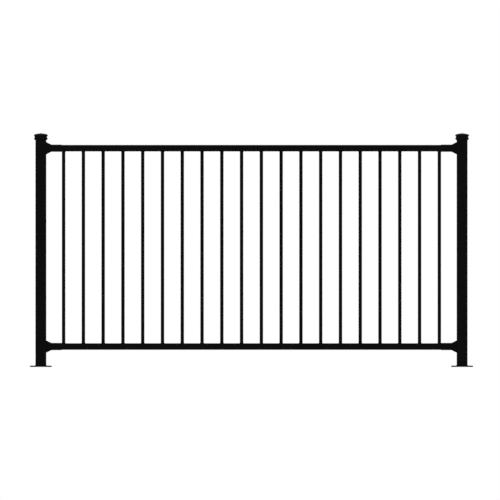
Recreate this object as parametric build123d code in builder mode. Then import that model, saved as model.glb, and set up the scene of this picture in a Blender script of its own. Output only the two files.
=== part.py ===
from build123d import *
from math import atan2, degrees
import os

# A two-post steel fence panel: square pickets stand in two punched rails, the rails sit in
# flared brackets on the posts, and each post stands on a bolted base plate under a moulded cap.
# Lengths are millimetres. The origin is the middle of the left base plate's underside,
# +X runs along the fence to the right post and +Z is up.

# Layout of the panel
post_spacing = 2457.0  # middle of one post to the middle of the other
ground_clearance = 100.0  # ground to the underside of the bottom rail
panel_height = 1195.0  # underside of the bottom rail to the top of the top rail
picket_count = 20

# Posts
post_size = 63.5
post_wall = 2.0
post_corner = 4.0

# Base plates
base_projection = 31.75  # how far a plate stands out past each face of its post
base_thickness = 8.0
base_corner = 8.0
base_chamfer = 1.0
anchor_hole_diameter = 13.0

# Rails
rail_size = 38.1
rail_wall = 1.8
rail_corner = 2.5
rail_end_gap = 2.0  # room left between a rail's end and the web of its bracket

# Pickets
picket_size = 20.0
picket_wall = 1.4
picket_corner = 2.0
picket_fit = 0.2  # clearance on each side in a punched hole
picket_top_gap = 0.3  # clearance under the top rail's upper wall

# Brackets
bracket_length = 90.5
sleeve_fit = 0.25  # clearance on each side of the rail
sleeve_wall = 1.8
flare_rise = 13.7  # how far the flange stands out past the sleeve
flare_length = 26.4
flange_edge = 3.0
casting_wall = 3.0
web_thickness = 3.0  # wall at the post, behind the rail's end
set_screw_diameter = 5.0
set_screw_inset = 22.0  # from the open end of the sleeve
picket_gap = 0.5  # between the open end of a sleeve and the first picket

# Post caps
cap_gap = 12.3  # bare post between the upper bracket and the cap
cap_fit = 0.3  # clearance on each side of the post
cap_socket = 30.0  # depth of the socket that the post stands in
cap_wall = 4.2
cap_lip = 1.6  # thickness of the bottom edge
cap_lip_height = 1.0
cap_bead_reach = 3.6
cap_bead_height = 13.5
cap_groove_height = 7.3
cap_rim_reach = 4.2
cap_rim_height = 11.5
cap_shoulder_width = 9.25  # steeper band round the foot of the crown
cap_shoulder_rise = 3.0
cap_crown_rise = 4.3  # from the shoulder to the flat at the top
cap_crown_flat = 3.0

# Derived sizes
base_size = post_size + 2 * base_projection
anchor_spacing = post_size + base_projection
clear_width = post_spacing - post_size
rail_length = clear_width - 2 * (web_thickness + rail_end_gap)
bottom_rail_z = ground_clearance + rail_size / 2
top_rail_z = ground_clearance + panel_height - rail_size / 2
punched_size = picket_size + 2 * picket_fit
picket_foot_z = ground_clearance + rail_wall
picket_head_z = ground_clearance + panel_height - rail_wall - picket_top_gap
picket_inset = post_size / 2 + bracket_length + picket_gap + picket_size / 2
picket_pitch = (post_spacing - 2 * picket_inset) / (picket_count - 1)
socket_size = rail_size + 2 * sleeve_fit
sleeve_size = socket_size + 2 * sleeve_wall
sleeve_corner = rail_corner + sleeve_fit + sleeve_wall
flange_width = post_size - 2 * post_corner
flange_height = sleeve_size + 2 * flare_rise
flange_corner = sleeve_corner + flare_rise
core_depth = flare_length - 3 * casting_wall
cap_bottom_z = top_rail_z + flange_height / 2 + cap_gap
post_top_z = cap_bottom_z + cap_socket


def tube_section(plane, size, wall, corner):
    """The section of a square tube, rounded outside and square inside, centred on a plane."""
    with BuildSketch(plane) as section:
        RectangleRounded(size, size, corner)
        Rectangle(size - 2 * wall, size - 2 * wall, mode=Mode.SUBTRACT)
    return section.sketch


def draft(inset, height):
    """The angle, in degrees, of a side that moves in by an inset over a height."""
    return degrees(atan2(inset, height))


def save(part, name):
    part.label = name
    export_step(part, f"parts/{name}.step")


def make_post(name, x):
    with BuildPart() as post:
        section = tube_section(Plane((x, 0, base_thickness)), post_size, post_wall, post_corner)
        extrude(section, amount=post_top_z - base_thickness)
    save(post.part, name)


def make_base_plate(name, x):
    with BuildPart() as plate:
        with BuildSketch(Plane((x, 0, 0))):
            RectangleRounded(base_size, base_size, base_corner)
            with GridLocations(anchor_spacing, anchor_spacing, 2, 2):
                Circle(anchor_hole_diameter / 2, mode=Mode.SUBTRACT)
        extrude(amount=base_thickness)
        top_rim = plate.faces().sort_by(Axis.Z)[-1].outer_wire().edges()
        chamfer(top_rim, length=base_chamfer)
    save(plate.part, name)


def make_rail(name, z, punched_side):
    """A rail along X, punched for the pickets in its upper (1) or lower (-1) wall."""
    with BuildPart() as rail:
        start = Plane((post_size / 2 + web_thickness + rail_end_gap, 0, z), z_dir=(1, 0, 0))
        extrude(tube_section(start, rail_size, rail_wall, rail_corner), amount=rail_length)
        with BuildSketch(Plane((post_spacing / 2, 0, z + punched_side * rail_size / 2))):
            with GridLocations(picket_pitch, picket_pitch, picket_count, 1):
                Rectangle(punched_size, punched_size)
        extrude(amount=-punched_side * rail_size / 2, mode=Mode.SUBTRACT)
    save(rail.part, name)


def make_picket(name, x):
    with BuildPart() as picket:
        section = tube_section(Plane((x, 0, picket_foot_z)), picket_size, picket_wall, picket_corner)
        extrude(section, amount=picket_head_z - picket_foot_z)
    save(picket.part, name)


def make_bracket(name, face_x, direction, z):
    """A cast bracket: a flange that flares from the rail's sleeve, trimmed to the post and cored behind.
    It is drawn standing on its flange, then turned on to the post's face."""
    slope = draft(flare_rise, flare_length)
    with BuildPart() as bracket:
        with BuildSketch():
            RectangleRounded(flange_height, flange_height, flange_corner)
        extrude(amount=flange_edge)
        with BuildSketch(Plane.XY.offset(flange_edge)):
            RectangleRounded(flange_height, flange_height, flange_corner)
        extrude(amount=flare_length, taper=slope)
        with BuildSketch():
            Rectangle(flange_width, flange_height)
        extrude(amount=bracket_length, mode=Mode.INTERSECT)
        with BuildSketch():
            Rectangle(flange_width - 2 * casting_wall, flange_height - 2 * casting_wall)
        extrude(amount=core_depth, taper=slope, mode=Mode.SUBTRACT)
        with BuildSketch():
            RectangleRounded(sleeve_size, sleeve_size, sleeve_corner)
        extrude(amount=bracket_length)
        with BuildSketch(Plane.XY.offset(web_thickness)):
            Rectangle(socket_size, socket_size)
        extrude(amount=bracket_length, mode=Mode.SUBTRACT)
        underside = Plane((0, -sleeve_size / 2, bracket_length - set_screw_inset), z_dir=(0, -1, 0))
        with Locations(underside):
            Hole(set_screw_diameter / 2, depth=sleeve_wall)
    post_face = Plane((face_x, 0, z), x_dir=(0, direction, 0), z_dir=(direction, 0, 0))
    save(post_face * bracket.part, name)


def make_post_cap(name, x):
    """A cap that slips over the post: mitred moulding round the post, under a low four-sided crown."""
    bore_half = post_size / 2 + cap_fit
    neck_size = 2 * (bore_half + cap_wall)
    bead_top = cap_lip_height + cap_bead_height
    rim_bottom = bead_top + cap_groove_height
    crown_base = rim_bottom + cap_rim_height
    shoulder_size = neck_size - 2 * cap_shoulder_width
    shoulder_top = crown_base + cap_shoulder_rise
    seat = Plane((x, 0, cap_bottom_z))
    with BuildPart() as cap:
        with BuildLine(seat) as round_post:
            Polyline(
                (bore_half, 0),
                (bore_half, bore_half),
                (-bore_half, bore_half),
                (-bore_half, -bore_half),
                (bore_half, -bore_half),
                (bore_half, 0),
            )
        with BuildSketch(Plane((x + bore_half, 0, cap_bottom_z), x_dir=(1, 0, 0), z_dir=(0, -1, 0))):
            with BuildLine():
                Polyline((cap_wall, crown_base), (0, crown_base), (0, 0), (cap_lip, 0))
                Line((cap_lip, 0), (cap_lip, cap_lip_height))
                ThreePointArc(
                    (cap_lip, cap_lip_height),
                    (cap_wall + cap_bead_reach, (cap_lip_height + bead_top) / 2),
                    (cap_wall, bead_top),
                )
                Line((cap_wall, bead_top), (cap_wall, rim_bottom))
                ThreePointArc(
                    (cap_wall, rim_bottom),
                    (cap_wall + cap_rim_reach, (rim_bottom + crown_base) / 2),
                    (cap_wall, crown_base),
                )
            make_face()
        sweep(path=round_post.wire(), transition=Transition.RIGHT)
        with BuildSketch(seat.offset(cap_socket)):
            Rectangle(2 * bore_half, 2 * bore_half)
        extrude(amount=crown_base - cap_socket)
        with BuildSketch(seat.offset(crown_base)):
            Rectangle(neck_size, neck_size)
        extrude(amount=cap_shoulder_rise, taper=draft(cap_shoulder_width, cap_shoulder_rise))
        with BuildSketch(seat.offset(shoulder_top)):
            Rectangle(shoulder_size, shoulder_size)
        extrude(amount=cap_crown_rise, taper=draft((shoulder_size - cap_crown_flat) / 2, cap_crown_rise))
    save(cap.part, name)


os.makedirs("parts", exist_ok=True)

for side, x, inward in (("left", 0, 1), ("right", post_spacing, -1)):
    make_post(f"{side}_post", x)
    make_base_plate(f"{side}_base_plate", x)
    make_post_cap(f"{side}_post_cap", x)
    inner_face_x = x + inward * post_size / 2
    make_bracket(f"top_{side}_bracket", inner_face_x, inward, top_rail_z)
    make_bracket(f"bottom_{side}_bracket", inner_face_x, inward, bottom_rail_z)

make_rail("top_rail", top_rail_z, -1)
make_rail("bottom_rail", bottom_rail_z, 1)

for index in range(picket_count):
    make_picket(f"picket_{index + 1:02d}", picket_inset + index * picket_pitch)
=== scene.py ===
import math

import bmesh
import bpy
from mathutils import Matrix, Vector


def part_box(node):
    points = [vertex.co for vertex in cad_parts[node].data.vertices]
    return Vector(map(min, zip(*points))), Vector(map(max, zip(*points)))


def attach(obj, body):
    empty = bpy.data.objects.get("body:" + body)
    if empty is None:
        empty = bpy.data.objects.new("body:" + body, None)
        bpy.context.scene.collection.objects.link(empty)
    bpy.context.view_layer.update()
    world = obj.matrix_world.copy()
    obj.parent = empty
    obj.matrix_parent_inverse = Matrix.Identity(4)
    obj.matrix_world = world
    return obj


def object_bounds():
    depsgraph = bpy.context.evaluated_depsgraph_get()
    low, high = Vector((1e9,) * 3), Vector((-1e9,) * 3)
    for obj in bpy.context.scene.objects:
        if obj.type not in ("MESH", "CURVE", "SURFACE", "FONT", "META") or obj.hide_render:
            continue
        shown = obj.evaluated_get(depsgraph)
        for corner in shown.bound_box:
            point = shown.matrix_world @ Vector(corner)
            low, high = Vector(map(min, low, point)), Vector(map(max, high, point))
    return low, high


# The looks of a black fence panel: a powder coat on drawn tube, a coarser coat on the castings,
# weld beads where the tubes meet, and the set screws under the rail sleeves. Lengths are metres.

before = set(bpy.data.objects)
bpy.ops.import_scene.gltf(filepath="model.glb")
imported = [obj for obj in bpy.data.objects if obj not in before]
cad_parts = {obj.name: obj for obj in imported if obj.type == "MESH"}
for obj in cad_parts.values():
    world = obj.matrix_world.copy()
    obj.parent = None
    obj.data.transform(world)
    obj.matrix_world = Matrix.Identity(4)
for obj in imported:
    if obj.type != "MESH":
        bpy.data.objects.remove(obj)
cad_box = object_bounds()

# Where the photo shows the panel, in its pixels
photo_width = 500
left_post_pixel = 40.857  # middle of the left post, from the left edge
right_post_pixel = 462.099
ground_pixel = 366.95  # underside of the base plates, from the top edge

# Tubes
post_corner = 0.004
picket_corner = 0.002

# Welds
post_weld_leg = 0.0030
post_ripple = 0.0026  # from one ripple of a bead to the next
picket_weld_leg = 0.0020
picket_ripple = 0.0018
ripple_steps = 3  # stations in one ripple
ripple_share = 0.26  # depth of the dip between ripples, of the leg
lead_low = 0.5  # between these heights, of the leg, a ripple runs one station ahead
lead_high = 0.8
bead_root = 0.2  # of the leg, beside the tube and the flat face, that has no ripples
crown_steps = 4  # round the bead's crown
crown_share = 0.95  # of the leg that the crown takes up
smooth_angle = math.radians(50)  # edges that turn more than this stay sharp

# Set screws
sleeve_step = 0.00205  # the sleeve's underside, below the rail's
screw_inset = 0.022  # from the open end of the sleeve
screw_radius = 0.0024
screw_length = 0.0020
screw_recess = 0.0002  # how far the screw sits inside its hole
screw_edge = 0.0003
screw_edge_steps = 3
screw_sides = 36
downward = -0.99  # a face looks straight down where its normal's z is less
key_sides = 6
key_radius = 0.00145  # middle of the key's socket to one of its corners
key_depth = 0.0011
key_drill = 0.0004  # drilled point at the bottom of the socket

# Coating
coat_black = (0.0012, 0.0012, 0.0013, 1)
coat_dull = (0.0022, 0.0022, 0.0023, 1)  # in its duller patches
thin_coat_edge_highlight = (0.018, 0.018, 0.019, 1)  # where it draws back from an edge, made much lighter than that as a painted highlight on the edge
coat_shine = 0.042  # specular level, low because the coat stays black in a white room
tube_gloss = 0.30  # roughness of the coat on drawn tube
plate_gloss = 0.36
weld_gloss = 0.45
cast_gloss = 0.58
gloss_drift = 0.07  # how much rougher the duller patches are
gloss_grit = 0.1
drift_size = 0.11  # across one duller patch
peel_size = 0.0022
peel_depth = 0.00012
grit_size = 0.0005
grit_depth = 0.00002
sand_size = 0.0035
cast_sand = 0.0004  # depth of the sand texture under the coat
weld_sand = 0.0001
edge_round = 0.0009
edge_rays = 6
edge_highlight_start = 0.002  # how far an edge has turned where the thin coat and its painted highlight start
edge_highlight_end = 0.12
edge_highlight_share = 0.8  # of the lighter colour on the edge itself: partly thin coat, partly painted highlight

# Blackened steel
screw_black = (0.012, 0.012, 0.013, 1)
screw_worn = (0.045, 0.045, 0.048, 1)
screw_gloss = 0.3
screw_metal = 0.8
stain_size = 0.0015
stain_gloss = 0.2
tooling_size = 0.0003
tooling_depth = 0.00002

# Studio
room_light = 0.7  # the white room's light on the object, beside the lamps
down_slope = -0.05  # sight steeper than this looks down
down_white = 0.35  # how much of the step from room light to full white it sees
floor_reach = 30.0
floor_pale = (0.86, 0.86, 0.86, 1)
floor_shade = (0.83, 0.83, 0.83, 1)
floor_cloud = 1.5  # size of the floor's paler and duller patches
camera_distance = 6.0


def middle_of(node):
    low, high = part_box(node)
    return (low + high) / 2


def size_of(node):
    low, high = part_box(node)
    return high - low


class Socket:
    """One output of a node. Sums with it add Math nodes."""

    def __init__(self, nodes, node, output):
        self.nodes = nodes
        self.node = node
        self.output = output

    def maths(self, operation, first, second):
        return self.nodes.add("ShaderNodeMath", {"operation": operation}, {0: first, 1: second})

    def __add__(self, other):
        return self.maths("ADD", self, other)

    def __radd__(self, other):
        return self.maths("ADD", other, self)

    def __sub__(self, other):
        return self.maths("SUBTRACT", self, other)

    def __rsub__(self, other):
        return self.maths("SUBTRACT", other, self)

    def __mul__(self, other):
        return self.maths("MULTIPLY", self, other)

    def __rmul__(self, other):
        return self.maths("MULTIPLY", other, self)


class Nodes:
    """The nodes of one material or of the world."""

    def __init__(self, owner):
        owner.use_nodes = True
        self.tree = owner.node_tree
        self.tree.nodes.clear()

    def add(self, kind, settings, sockets, output=0):
        """Adds a node with its settings, then the values or links of its sockets. Returns one output."""
        node = self.tree.nodes.new(kind)
        for name, value in settings.items():
            setattr(node, name, value)
        for name, value in sockets.items():
            if isinstance(value, Socket):
                self.tree.links.new(value.node.outputs[value.output], node.inputs[name])
            else:
                node.inputs[name].default_value = value
        return Socket(self, node, output)

    def noise(self, place, grain, detail):
        """Noise between 0 and 1 whose lumps are about one grain across."""
        return self.add("ShaderNodeTexNoise", {}, {"Vector": place, "Scale": 1 / grain, "Detail": detail})

    def spread(self, value, low, high):
        """Stretches a value so that low becomes 0 and high becomes 1, and clamps it."""
        return self.add(
            "ShaderNodeMapRange", {"clamp": True}, {"Value": value, "From Min": low, "From Max": high}
        )

    def blend(self, share, first, second):
        """A colour between two, by a share from 0 to 1. A Mix node's sockets for them go by number."""
        return self.add("ShaderNodeMix", {"data_type": "RGBA"}, {0: share, 6: first, 7: second}, 2)


def coated_metal(name, gloss, sand_depth, sharp):
    """A black powder coat: orange peel, fine grit and slow drifts in gloss, over sandy metal or smooth.
    On a piece with sharp edges it rounds them and paints them lighter: partly the coat drawing back to a
    thin skin, partly a painted highlight."""
    material = bpy.data.materials.new(name)
    nodes = Nodes(material)
    place = nodes.add("ShaderNodeTexCoord", {}, {}, "Object")
    drift = nodes.spread(nodes.noise(place, drift_size, detail=2), low=0.3, high=0.7)
    peel = nodes.noise(place, peel_size, detail=1)
    grit = nodes.noise(place, grit_size, detail=2)
    colour = nodes.blend(drift, coat_black, coat_dull)
    roughness = gloss + gloss_drift * drift + gloss_grit * (grit - 0.5)
    height = peel * peel_depth + grit * grit_depth
    if sand_depth > 0:
        height = height + nodes.noise(place, sand_size, detail=3) * sand_depth
    relief = {"Height": height, "Distance": 1.0}
    if sharp:
        rounded = nodes.add("ShaderNodeBevel", {"samples": edge_rays}, {"Radius": edge_round})
        flat = nodes.add("ShaderNodeNewGeometry", {}, {}, "Normal")
        product = {"operation": "DOT_PRODUCT"}
        alike = nodes.add("ShaderNodeVectorMath", product, {0: rounded, 1: flat}, "Value")
        # Painted highlight: turned edges are lightened towards a colour much paler than a thin skin of
        # coat alone would give
        edge = nodes.spread(1 - alike, edge_highlight_start, edge_highlight_end)
        colour = nodes.blend(edge_highlight_share * edge, colour, thin_coat_edge_highlight)
        relief["Normal"] = rounded
    normal = nodes.add("ShaderNodeBump", {}, relief)
    coat = nodes.add(
        "ShaderNodeBsdfPrincipled",
        {},
        {"Base Color": colour, "Roughness": roughness, "Normal": normal, "Specular IOR Level": coat_shine},
    )
    nodes.add("ShaderNodeOutputMaterial", {}, {"Surface": coat})
    return material


def blackened_steel(name):
    """The oxide black of a set screw, worn grey in patches."""
    material = bpy.data.materials.new(name)
    nodes = Nodes(material)
    place = nodes.add("ShaderNodeTexCoord", {}, {}, "Object")
    stain = nodes.noise(place, stain_size, detail=3)
    tooling = nodes.noise(place, tooling_size, detail=1)
    colour = nodes.blend(nodes.spread(stain, low=0.4, high=0.75), screw_black, screw_worn)
    roughness = screw_gloss + stain_gloss * stain
    normal = nodes.add("ShaderNodeBump", {}, {"Height": tooling * tooling_depth, "Distance": 1.0})
    steel = nodes.add(
        "ShaderNodeBsdfPrincipled",
        {},
        {"Base Color": colour, "Roughness": roughness, "Metallic": screw_metal, "Normal": normal},
    )
    nodes.add("ShaderNodeOutputMaterial", {}, {"Surface": steel})
    return material


def open_piece(name):
    """Names the primitive just added and opens it for editing."""
    piece = bpy.context.object
    piece.name = name
    bpy.ops.object.mode_set(mode="EDIT")
    return piece


def pick(piece, kind, test):
    """Selects the verts, edges or faces of the open piece that pass a test."""
    bpy.ops.mesh.select_mode(type={"verts": "VERT", "edges": "EDGE", "faces": "FACE"}[kind])
    bpy.ops.mesh.select_all(action="DESELECT")
    mesh = bmesh.from_edit_mesh(piece.data)
    for element in getattr(mesh, kind):
        if test(element):
            element.select_set(True)
    bmesh.update_edit_mesh(piece.data)


def close_piece(piece, material):
    """Turns its faces outward, puts its place into its mesh, coats it and joins it to the panel."""
    bpy.ops.object.mode_set(mode="EDIT")
    bpy.ops.mesh.select_all(action="SELECT")
    bpy.ops.mesh.normals_make_consistent(inside=False)
    bpy.ops.object.mode_set(mode="OBJECT")
    bpy.ops.object.transform_apply(location=True, rotation=True, scale=True)
    bpy.ops.object.shade_smooth_by_angle(angle=smooth_angle)
    piece.data.materials.append(material)
    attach(piece, "root")


def copy_piece(piece, name, shift):
    """A copy of a closed piece with its own mesh, moved by a shift that goes into the mesh."""
    bpy.ops.object.select_all(action="DESELECT")
    piece.select_set(True)
    bpy.context.view_layer.objects.active = piece
    bpy.ops.object.duplicate(linked=False)
    copy = bpy.context.object
    copy.name = name
    bpy.ops.transform.translate(value=shift)
    bpy.ops.object.transform_apply(location=True, rotation=True, scale=True)


def weld_bead(name, place, tube, corner, leg, ripple, facing):
    """A rippled bead round a square tube, on the top (1) or the underside (-1) of a flat face."""
    run = tube - 2 * corner
    run_steps = ripple_steps * round(run / ripple)
    corner_steps = ripple_steps * round((corner + leg) * math.pi / 2 / ripple)
    bpy.ops.object.select_all(action="DESELECT")
    bpy.ops.mesh.primitive_plane_add(size=tube + 2 * leg, location=place)
    bead = open_piece(name)
    # A flat ring with round corners, raised to a square bar
    bpy.ops.mesh.bevel(offset=corner + leg, segments=corner_steps, affect="VERTICES")
    bpy.ops.mesh.inset(thickness=leg)
    bpy.ops.mesh.delete(type="ONLY_FACE")
    bpy.ops.mesh.select_all(action="SELECT")
    bpy.ops.mesh.extrude_region_move(TRANSFORM_OT_translate={"value": (0, 0, facing * leg)})
    bpy.ops.mesh.select_all(action="SELECT")
    bpy.ops.mesh.normals_make_consistent(inside=False)

    def outer_rim(edge):
        raised = all(facing * vert.co.z > leg / 2 for vert in edge.verts)
        centre = (edge.verts[0].co + edge.verts[1].co) / 2
        return raised and any(face.normal.xy.dot(centre.xy) > leg / 2 for face in edge.link_faces)

    # The bar's outer rim becomes the crown, and its straight sides get stations as its corners have
    pick(bead, "edges", outer_rim)
    bpy.ops.mesh.bevel(offset=leg * crown_share, segments=crown_steps, affect="EDGES")
    pick(bead, "edges", lambda edge: edge.calc_length() > run - leg)
    bpy.ops.mesh.subdivide(number_cuts=run_steps - 1)

    def dip(vert):
        past = Vector((abs(vert.co.x), abs(vert.co.y))) - Vector((run / 2, run / 2))
        if past.x < 0 or past.y < 0:
            along = vert.co.x if past.x < past.y else vert.co.y
            station = round((along / run + 0.5) * run_steps)
        else:
            station = round(math.atan2(past.y, past.x) / (math.pi / 2) * corner_steps)
        height = facing * vert.co.z / leg
        lead = 1 if lead_low < height < lead_high else 0
        free = max(past) > corner + leg * bead_root and height > bead_root
        return free and (station + lead) % ripple_steps == 0

    # The first station of each ripple sinks between its neighbours
    pick(bead, "verts", dip)
    bpy.ops.transform.shrink_fatten(value=-leg * ripple_share)
    return bead


def foot_welds(material):
    """A bead round the foot of each post, on its base plate."""
    left = middle_of("left_post")
    foot = Vector((left.x, left.y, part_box("left_base_plate")[1].z))
    tube = size_of("left_post").x
    bead = weld_bead("left_foot_weld", foot, tube, post_corner, post_weld_leg, post_ripple, 1)
    close_piece(bead, material)
    copy_piece(bead, "right_foot_weld", middle_of("right_post") - left)


def picket_welds(material):
    """A row of beads along each rail, one round each picket."""
    pickets = sorted(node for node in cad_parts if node.startswith("picket_"))
    first = middle_of(pickets[0])
    tube = size_of(pickets[0]).x
    pitch = (middle_of(pickets[-1]).x - first.x) / (len(pickets) - 1)
    for rail, facing in (("bottom_rail", 1), ("top_rail", -1)):
        place = Vector((first.x, first.y, middle_of(rail).z + facing * size_of(rail).z / 2))
        bead = weld_bead(
            f"{rail}_welds", place, tube, picket_corner, picket_weld_leg, picket_ripple, facing
        )
        bpy.ops.object.mode_set(mode="OBJECT")
        bpy.ops.object.modifier_add(type="ARRAY")
        row = bead.modifiers[-1]
        row.count = len(pickets)
        row.use_relative_offset = False
        row.use_constant_offset = True
        row.constant_offset_displace = (pitch, 0, 0)
        bpy.ops.object.modifier_apply(modifier=row.name)
        close_piece(bead, material)


def screw_place(level, side):
    """Middle of the set screw's head, just inside the underside of a sleeve."""
    low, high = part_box(f"{level}_{side}_bracket")
    x = high.x - screw_inset if side == "left" else low.x + screw_inset
    return Vector((x, 0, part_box(f"{level}_rail")[0].z - sleeve_step + screw_recess))


def set_screw(name, place):
    """A headless screw with a six-sided key socket in its lower end."""
    middle = place + Vector((0, 0, screw_length / 2))
    face_z = -screw_length / 2
    bpy.ops.object.select_all(action="DESELECT")
    bpy.ops.mesh.primitive_cylinder_add(
        vertices=screw_sides, radius=screw_radius, depth=screw_length, location=middle
    )
    screw = open_piece(name)

    def lower_end(face):
        return face.normal.z < downward

    def open_rim(edge):
        level = all(abs(vert.co.z - face_z) < screw_edge / 2 for vert in edge.verts)
        return level and len(edge.link_faces) < 2

    # The lower end is rounded at its edge and opened
    pick(screw, "faces", lower_end)
    bpy.ops.mesh.bevel(offset=screw_edge, segments=screw_edge_steps, affect="EDGES")
    pick(screw, "faces", lower_end)
    bpy.ops.mesh.inset(thickness=screw_edge)
    bpy.ops.mesh.delete(type="ONLY_FACE")
    # The key's outline is joined to the opening, sunk, and closed with a drilled point
    bpy.ops.mesh.primitive_circle_add(vertices=key_sides, radius=key_radius, location=place)
    pick(screw, "edges", open_rim)
    bpy.ops.mesh.bridge_edge_loops()
    pick(screw, "edges", open_rim)
    bpy.ops.mesh.extrude_region_move(TRANSFORM_OT_translate={"value": (0, 0, key_depth)})
    bpy.ops.mesh.edge_face_add()
    bpy.ops.mesh.poke(offset=-key_drill)
    return screw


def set_screws(material):
    """One screw under the sleeve of each bracket."""
    first = screw_place("top", "left")
    screw = set_screw("top_left_set_screw", first)
    close_piece(screw, material)
    for level, side in (("top", "right"), ("bottom", "left"), ("bottom", "right")):
        copy_piece(screw, f"{level}_{side}_set_screw", screw_place(level, side) - first)


def lamp(name, place, level, width):
    """A square soft lamp aimed at the middle of the panel. Its level is the brightness of white there."""
    target = (cad_box[0] + cad_box[1]) / 2
    away = Vector(place) - target
    data = bpy.data.lights.new(name, "AREA")
    data.size = width
    data.energy = level * math.pi**2 * away.length_squared
    light = bpy.data.objects.new(name, data)
    light.location = place
    light.rotation_euler = away.to_track_quat("Z", "Y").to_euler()
    bpy.context.scene.collection.objects.link(light)


def white_room():
    """A surround that sight and reflections see as full white, with a softer light on the object.
    Sight that looks down past the floor's edge sees about the floor's tone."""
    world = bpy.data.worlds.new("white_room")
    bpy.context.scene.world = world
    nodes = Nodes(world)
    way = nodes.add("ShaderNodeTexCoord", {}, {}, "Generated")
    rise = nodes.add("ShaderNodeSeparateXYZ", {}, {"Vector": way}, "Z")
    level = down_white + (1 - down_white) * nodes.spread(rise, low=down_slope, high=0)
    sight = nodes.add("ShaderNodeLightPath", {}, {}, "Is Camera Ray")
    gloss = nodes.add("ShaderNodeLightPath", {}, {}, "Is Glossy Ray")
    glass = nodes.add("ShaderNodeLightPath", {}, {}, "Is Transmission Ray")
    seen = nodes.spread(sight * level + gloss + glass, low=0, high=1)
    strength = room_light + (1 - room_light) * seen
    surround = nodes.add("ShaderNodeBackground", {}, {"Color": (1, 1, 1, 1), "Strength": strength})
    nodes.add("ShaderNodeOutputWorld", {}, {"Surface": surround})


def pale_floor():
    """A wide matt floor under the base plates, which takes the panel's shadow."""
    bpy.ops.object.select_all(action="DESELECT")
    bpy.ops.mesh.primitive_plane_add(size=2 * floor_reach, location=(0, 0, cad_box[0].z))
    floor = bpy.context.object
    floor.name = "floor"
    material = bpy.data.materials.new("pale_floor")
    nodes = Nodes(material)
    place = nodes.add("ShaderNodeTexCoord", {}, {}, "Object")
    cloud = nodes.noise(place, floor_cloud, detail=2)
    matt = nodes.add("ShaderNodeBsdfDiffuse", {}, {"Color": nodes.blend(cloud, floor_pale, floor_shade)})
    nodes.add("ShaderNodeOutputMaterial", {}, {"Surface": matt})
    floor.data.materials.append(material)


def front_camera():
    """The photo looks square on at the panel, with no perspective."""
    left = middle_of("left_post").x
    pixel = (middle_of("right_post").x - left) / (right_post_pixel - left_post_pixel)
    data = bpy.data.cameras.new("front")
    data.type = "ORTHO"
    data.ortho_scale = photo_width * pixel
    camera = bpy.data.objects.new("front", data)
    across = left + (photo_width / 2 - left_post_pixel) * pixel
    up = cad_box[0].z + (ground_pixel - photo_width / 2) * pixel
    camera.location = (across, -camera_distance, up)
    camera.rotation_euler = (math.radians(90), 0, 0)
    bpy.context.scene.collection.objects.link(camera)
    bpy.context.scene.camera = camera


def coat_nodes():
    """Castings and plates have sharp edges, and tubes are round at theirs."""
    tube_coat = coated_metal("tube_coat", tube_gloss, sand_depth=0, sharp=False)
    plate_coat = coated_metal("plate_coat", plate_gloss, sand_depth=0, sharp=True)
    cast_coat = coated_metal("cast_coat", cast_gloss, cast_sand, sharp=True)
    for name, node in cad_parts.items():
        if name.endswith("_base_plate"):
            coat = plate_coat
        elif name.endswith(("_post_cap", "_bracket")):
            coat = cast_coat
        else:
            coat = tube_coat
        node.data.materials.clear()
        node.data.materials.append(coat)


coat_nodes()
weld_coat = coated_metal("weld_coat", weld_gloss, weld_sand, sharp=False)
foot_welds(weld_coat)
picket_welds(weld_coat)
set_screws(blackened_steel("blackened_steel"))

white_room()
pale_floor()
lamp("key", place=(-1.5, -3.0, 4.5), level=0.25, width=2.0)
lamp("fill", place=(4.5, -2.5, 3.5), level=0.12, width=2.0)
lamp("back", place=(1.2, 4.0, 4.0), level=0.18, width=2.5)
front_camera()
bpy.context.scene.view_settings.view_transform = "Standard"
